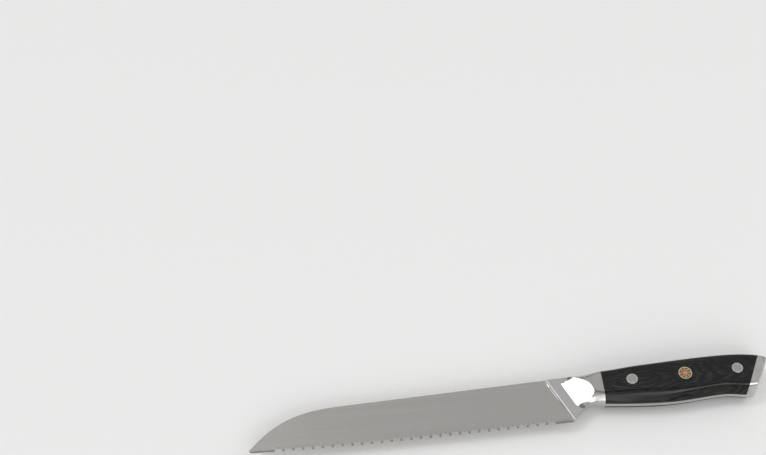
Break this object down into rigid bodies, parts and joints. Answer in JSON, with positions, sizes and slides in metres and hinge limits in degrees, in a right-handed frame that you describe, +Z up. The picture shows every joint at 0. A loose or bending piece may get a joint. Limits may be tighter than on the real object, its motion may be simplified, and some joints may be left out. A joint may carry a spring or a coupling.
{
  "type": "bread knife",
  "caption": "Bread knife with a scalloped steel blade, full tang, polished bolster, slanted end cap and black riveted scales around a copper mosaic pin.",
  "frame": {"origin": "under the middle of the knife's bounding box, on the surface that the right scale lies on", "axes": "+X from the point to the butt, +Y from the edge to the spine, +Z up through the thickness, out of the left face"},
  "size_m": [0.3264, 0.034, 0.018],
  "materials": {
    "blade_steel": "satin stainless steel, ground lengthwise",
    "bolster_steel": "polished stainless steel, brushed on the neck",
    "cap_steel": "polished stainless steel",
    "rivet_steel": "stainless steel, ground flush with the scales",
    "black_wood": "black resin-bonded laminated wood, satin polish",
    "glue": "cured epoxy",
    "pin_brass": "pale brass, ground flush",
    "pin_copper": "copper, ground flush",
    "pin_resin": "dark brown resin"
  },
  "bodies": {
    "root": {"blade": "blade_steel", "bolster_left": "bolster_steel", "bolster_right": "bolster_steel", "end_cap": "cap_steel", "scale_left": "black_wood", "scale_right": "black_wood", "glue_left": "glue", "glue_right": "glue", "front_rivet_post": "rivet_steel", "front_rivet_sleeve": "rivet_steel", "rear_rivet_post": "rivet_steel", "rear_rivet_sleeve": "rivet_steel", "mosaic_tube": "pin_brass", "mosaic_core": "pin_copper", "mosaic_resin": "pin_resin", "mosaic_rod_1": "pin_copper", "mosaic_rod_2": "pin_copper", "mosaic_rod_3": "pin_copper", "mosaic_rod_4": "pin_copper", "mosaic_rod_5": "pin_copper", "mosaic_rod_6": "pin_copper", "mosaic_rod_7": "pin_copper", "mosaic_rod_8": "pin_copper"}
  },
  "joints": []
}
